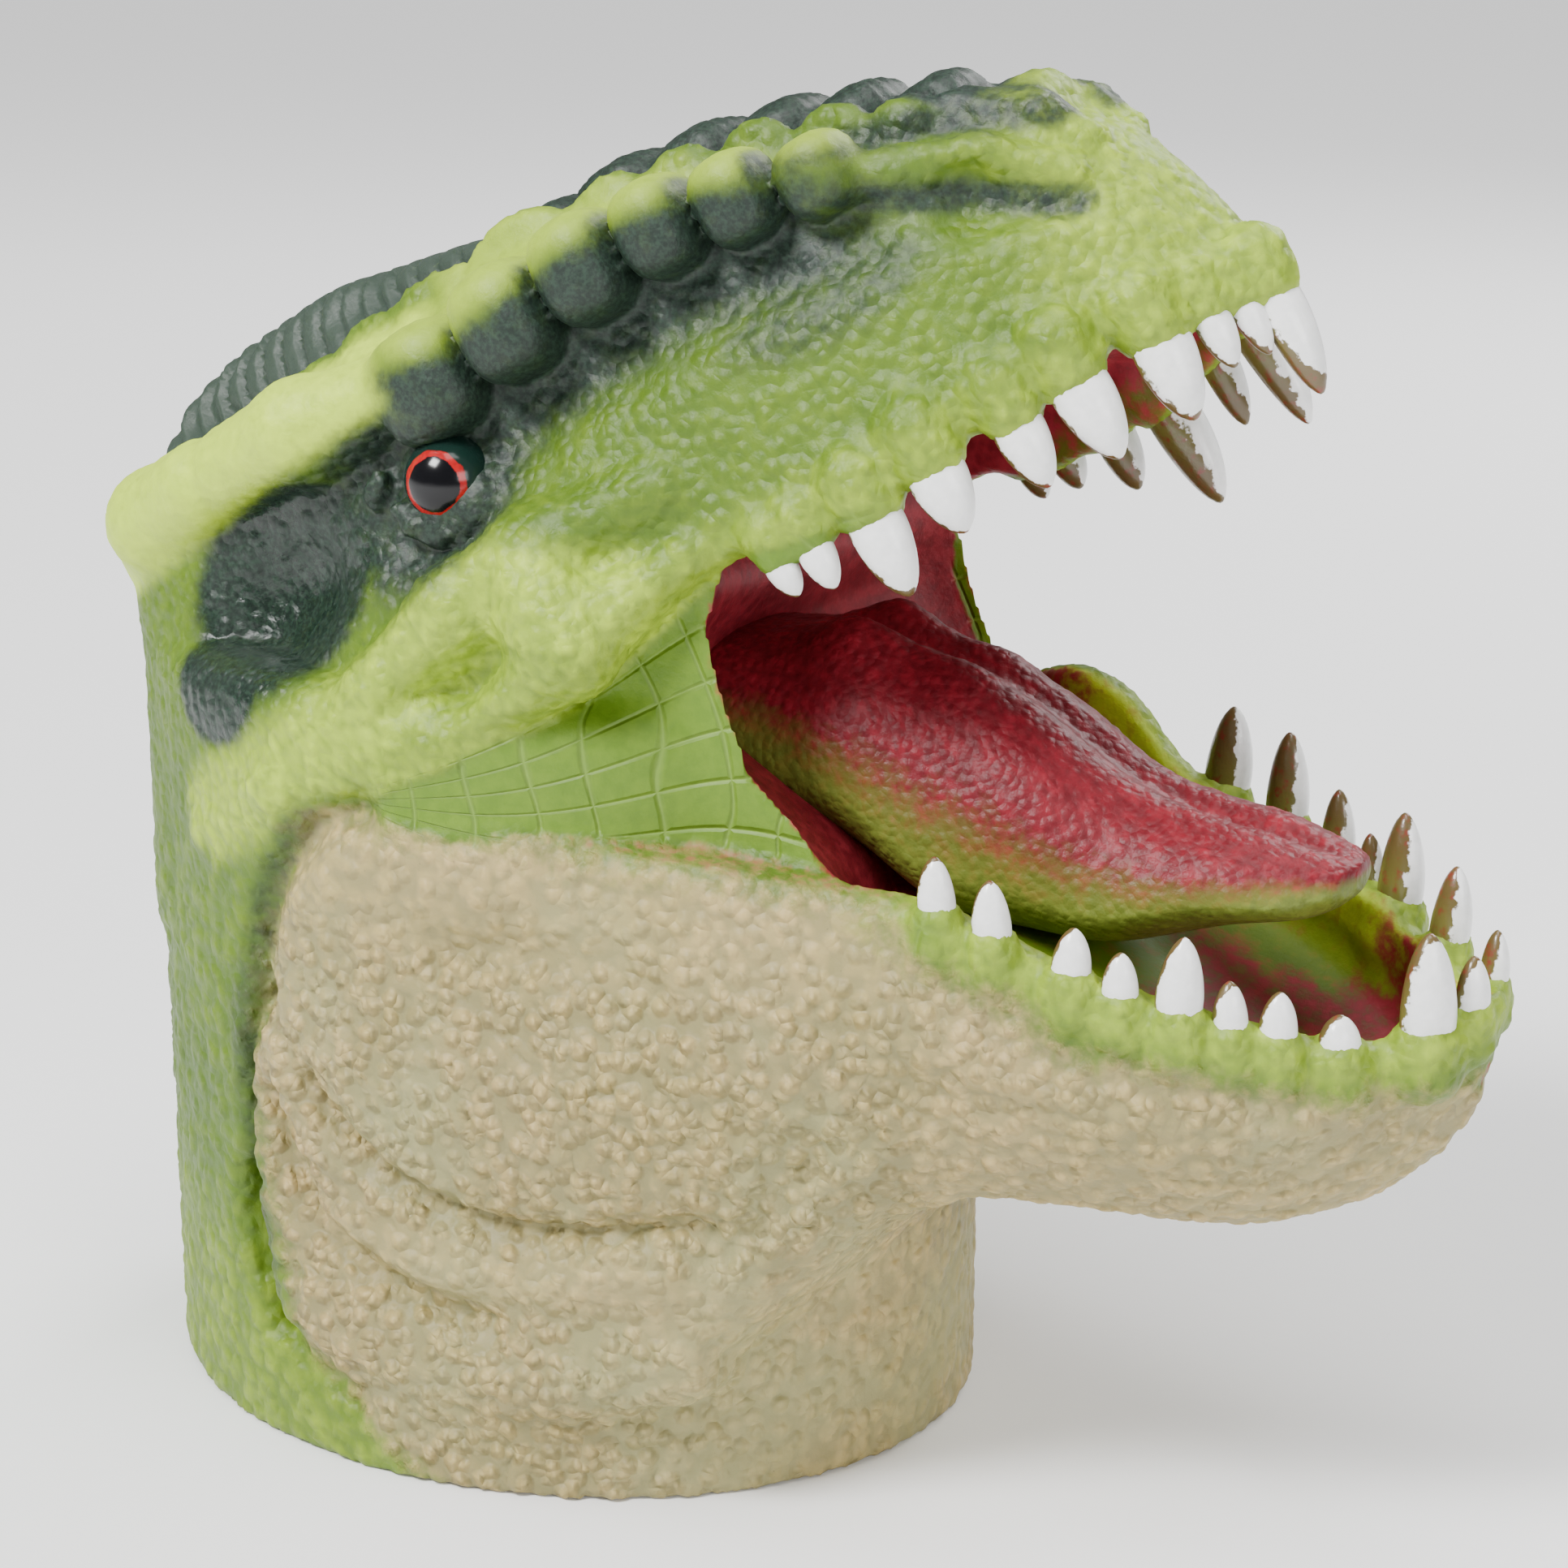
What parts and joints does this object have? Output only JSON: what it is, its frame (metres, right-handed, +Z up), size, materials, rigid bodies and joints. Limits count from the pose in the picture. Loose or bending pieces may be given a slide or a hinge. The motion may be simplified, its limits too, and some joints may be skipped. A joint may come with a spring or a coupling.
{
  "type": "moving mouth puppet",
  "caption": "Soft rubber dinosaur head hand puppet with an open neck for the hand, a hinged upper head and a hinged lower jaw lined with teeth.",
  "frame": {"origin": "centre of the oval neck opening, on the plane the puppet stands on", "axes": "+Z up, +X towards the nose, +Y towards the animal's left"},
  "size_m": [0.1707, 0.086, 0.1578],
  "materials": {
    "green_rubber": "satin moulded rubber",
    "dark_green": "satin moulded rubber, sprayed dark",
    "mouth_red": "satin moulded rubber, sprayed red",
    "tooth_paint": "white gloss paint on rubber",
    "eye": "gloss black with a red ring"
  },
  "bodies": {
    "neck": {"cheek_web_left": "green_rubber", "cheek_web_right": "green_rubber", "neck_sleeve": "green_rubber", "throat_wall": "mouth_red"},
    "upper_head": {"brow_ridge_left": "green_rubber", "brow_ridge_right": "green_rubber", "brow_scutes_left": "green_rubber", "brow_scutes_right": "green_rubber", "crown_scutes_left": "green_rubber", "crown_scutes_right": "green_rubber", "eye_left": "eye", "eye_right": "eye", "nape_crest": "dark_green", "palate": "mouth_red", "skull_shell": "green_rubber", "spine_scutes": "dark_green", "upper_tooth_left_1": "tooth_paint", "upper_tooth_left_2": "tooth_paint", "upper_tooth_left_3": "tooth_paint", "upper_tooth_left_4": "tooth_paint", "upper_tooth_left_5": "tooth_paint", "upper_tooth_left_6": "tooth_paint", "upper_tooth_left_7": "tooth_paint", "upper_tooth_right_1": "tooth_paint", "upper_tooth_right_10": "tooth_paint", "upper_tooth_right_2": "tooth_paint", "upper_tooth_right_3": "tooth_paint", "upper_tooth_right_4": "tooth_paint", "upper_tooth_right_5": "tooth_paint", "upper_tooth_right_6": "tooth_paint", "upper_tooth_right_7": "tooth_paint", "upper_tooth_right_8": "tooth_paint", "upper_tooth_right_9": "tooth_paint"},
    "lower_jaw": {"jaw_shell": "green_rubber", "lower_tooth_left_1": "tooth_paint", "lower_tooth_left_2": "tooth_paint", "lower_tooth_left_3": "tooth_paint", "lower_tooth_left_4": "tooth_paint", "lower_tooth_left_5": "tooth_paint", "lower_tooth_left_6": "tooth_paint", "lower_tooth_left_7": "tooth_paint", "lower_tooth_right_1": "tooth_paint", "lower_tooth_right_10": "tooth_paint", "lower_tooth_right_2": "tooth_paint", "lower_tooth_right_3": "tooth_paint", "lower_tooth_right_4": "tooth_paint", "lower_tooth_right_5": "tooth_paint", "lower_tooth_right_6": "tooth_paint", "lower_tooth_right_7": "tooth_paint", "lower_tooth_right_8": "tooth_paint", "lower_tooth_right_9": "tooth_paint", "mouth_floor": "green_rubber", "tongue": "mouth_red"}
  },
  "joints": [
    {"name": "upper_head_hinge", "type": "hinge", "parent": "neck", "child": "upper_head", "pos_m": [0, 0, 0.08], "axis": [0, 1, 0], "range_deg": [-4, 12], "stiffness_Nm_per_rad": 6, "deforming": ["throat_wall", "cheek_web_left", "cheek_web_right"]},
    {"name": "lower_jaw_hinge", "type": "hinge", "parent": "neck", "child": "lower_jaw", "pos_m": [0, 0, 0.08], "axis": [0, -1, 0], "range_deg": [-4, 10], "stiffness_Nm_per_rad": 5}
  ]
}
